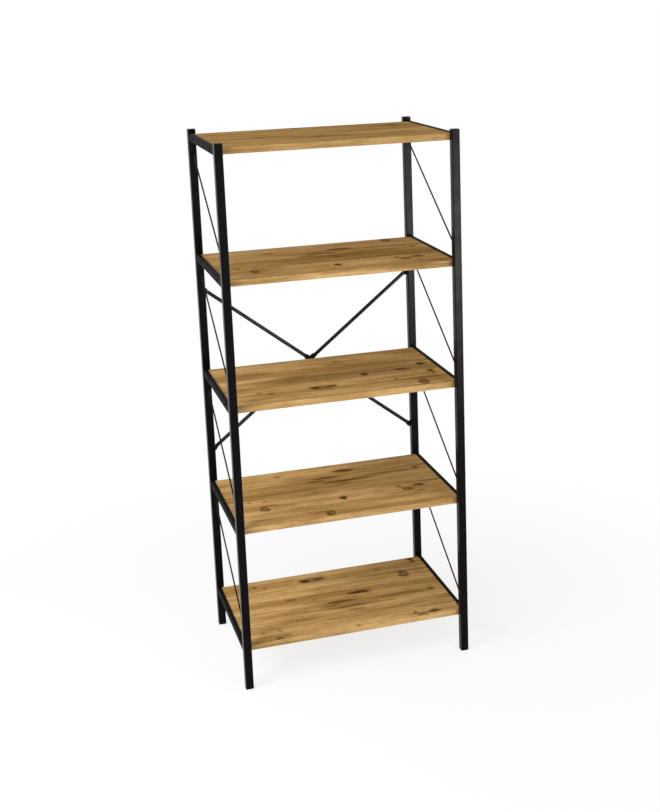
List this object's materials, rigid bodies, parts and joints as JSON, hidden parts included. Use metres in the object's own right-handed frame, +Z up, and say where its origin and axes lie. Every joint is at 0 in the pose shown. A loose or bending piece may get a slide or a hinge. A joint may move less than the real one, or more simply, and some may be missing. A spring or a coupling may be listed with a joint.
{
  "type": "shelving unit",
  "caption": "Tall open shelving unit with a slim black square-tube frame, wood-decor boards between side rails, slanted side rods and a crossed rod brace at the rear.",
  "frame": {"origin": "on the floor, under the middle of the whole unit", "axes": "+Z up, +Y to the rear (the braced side), +X to the right seen from the front"},
  "size_m": [0.6, 0.4124, 1.38],
  "materials": {
    "frame_steel": "satin",
    "shelf_board": "satin",
    "edge_band": "satin",
    "plug_plastic": "matte",
    "screw_steel": "satin"
  },
  "bodies": {
    "root": {"post_front_left": "frame_steel", "cap_front_left": "plug_plastic", "foot_front_left": "plug_plastic", "post_front_right": "frame_steel", "cap_front_right": "plug_plastic", "foot_front_right": "plug_plastic", "post_rear_left": "frame_steel", "cap_rear_left": "plug_plastic", "foot_rear_left": "plug_plastic", "post_rear_right": "frame_steel", "cap_rear_right": "plug_plastic", "foot_rear_right": "plug_plastic", "rail_left_1": "frame_steel", "rail_left_2": "frame_steel", "rail_left_3": "frame_steel", "rail_left_4": "frame_steel", "rail_left_5": "frame_steel", "rod_left_1": "frame_steel", "rod_left_2": "frame_steel", "rod_left_3": "frame_steel", "rod_left_4": "frame_steel", "rail_right_1": "frame_steel", "rail_right_2": "frame_steel", "rail_right_3": "frame_steel", "rail_right_4": "frame_steel", "rail_right_5": "frame_steel", "rod_right_1": "frame_steel", "rod_right_2": "frame_steel", "rod_right_3": "frame_steel", "rod_right_4": "frame_steel", "shelf_1_board": "shelf_board", "shelf_1_front_band": "edge_band", "shelf_1_rear_band": "edge_band", "shelf_1_screws": "screw_steel", "shelf_2_board": "shelf_board", "shelf_2_front_band": "edge_band", "shelf_2_rear_band": "edge_band", "shelf_2_screws": "screw_steel", "shelf_3_board": "shelf_board", "shelf_3_front_band": "edge_band", "shelf_3_rear_band": "edge_band", "shelf_3_screws": "screw_steel", "shelf_4_board": "shelf_board", "shelf_4_front_band": "edge_band", "shelf_4_rear_band": "edge_band", "shelf_4_screws": "screw_steel", "shelf_5_board": "shelf_board", "shelf_5_front_band": "edge_band", "shelf_5_rear_band": "edge_band", "shelf_5_screws": "screw_steel", "brace_rod_inner": "frame_steel", "brace_rod_outer": "frame_steel", "brace_end_screws": "screw_steel", "brace_centre_bolt": "screw_steel", "brace_centre_nut": "screw_steel"}
  },
  "joints": []
}
